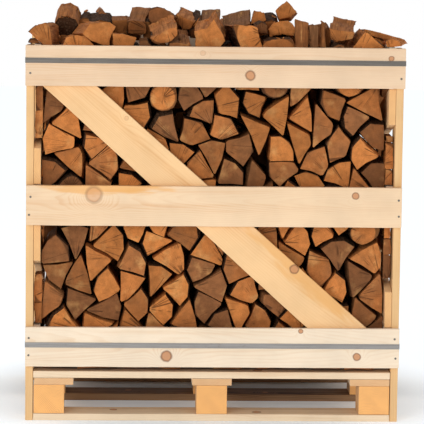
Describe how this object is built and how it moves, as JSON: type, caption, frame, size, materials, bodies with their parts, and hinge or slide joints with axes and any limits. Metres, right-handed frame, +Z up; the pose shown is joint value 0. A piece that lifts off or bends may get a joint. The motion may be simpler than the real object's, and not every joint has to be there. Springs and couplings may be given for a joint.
{
  "type": "firewood crate on a pallet",
  "caption": "Slatted softwood crate on a block pallet, filled with stacked split firewood, with a loose heap on top and two steel bands around it.",
  "frame": {"origin": "on the floor, at the middle of the footprint", "axes": "+X to the right along the slatted front, +Y from front to back, +Z up"},
  "size_m": [1.1822, 0.8022, 1.3178],
  "materials": {
    "slat_timber": "raw sawn spruce, cream, with fine grain, knots and small splinters at the edges",
    "post_timber": "raw sawn spruce seen on its edge, warmer yellow",
    "brace_timber": "raw sawn pine, yellow, with an orange heartwood patch on the long front brace",
    "pallet_board": "raw sawn boards with rough edges and a little bark left at some edges",
    "pallet_block": "sawn block with orange end grain facing front and back",
    "steel_band": "dull grey strapping",
    "firewood": "kiln-dried split hardwood, brown sawn ends, greyish split faces and dark bark"
  },
  "bodies": {
    "root": {"back_brace": "brace_timber", "back_slat_bottom": "slat_timber", "back_slat_middle": "slat_timber", "back_slat_top": "slat_timber", "front_brace": "brace_timber", "front_slat_bottom": "slat_timber", "front_slat_middle": "slat_timber", "front_slat_top": "slat_timber", "heap_log_1": "firewood", "heap_log_10": "firewood", "heap_log_11": "firewood", "heap_log_2": "firewood", "heap_log_3": "firewood", "heap_log_4": "firewood", "heap_log_5": "firewood", "heap_log_6": "firewood", "heap_log_7": "firewood", "heap_log_8": "firewood", "heap_log_9": "firewood", "left_brace_lower": "brace_timber", "left_brace_upper": "brace_timber", "left_slat_bottom": "slat_timber", "left_slat_middle": "slat_timber", "left_slat_top": "slat_timber", "log_heap": "firewood", "log_row_back": "firewood", "log_row_front": "firewood", "log_row_middle": "firewood", "pallet_block_back_left": "pallet_block", "pallet_block_back_middle": "pallet_block", "pallet_block_back_right": "pallet_block", "pallet_block_front_left": "pallet_block", "pallet_block_front_middle": "pallet_block", "pallet_block_front_right": "pallet_block", "pallet_block_middle_left": "pallet_block", "pallet_block_middle_middle": "pallet_block", "pallet_block_middle_right": "pallet_block", "pallet_bottom_board_back": "pallet_board", "pallet_bottom_board_front": "pallet_board", "pallet_bottom_board_middle": "pallet_board", "pallet_deck_board_1": "pallet_board", "pallet_deck_board_2": "pallet_board", "pallet_deck_board_3": "pallet_board", "pallet_deck_board_4": "pallet_board", "pallet_deck_board_5": "pallet_board", "pallet_deck_board_6": "pallet_board", "pallet_stringer_left": "pallet_board", "pallet_stringer_middle": "pallet_board", "pallet_stringer_right": "pallet_board", "post_back_left": "post_timber", "post_back_right": "post_timber", "post_front_left": "post_timber", "post_front_right": "post_timber", "right_brace_lower": "brace_timber", "right_brace_upper": "brace_timber", "right_slat_bottom": "slat_timber", "right_slat_middle": "slat_timber", "right_slat_top": "slat_timber", "steel_band_bottom": "steel_band", "steel_band_top": "steel_band"}
  },
  "joints": []
}
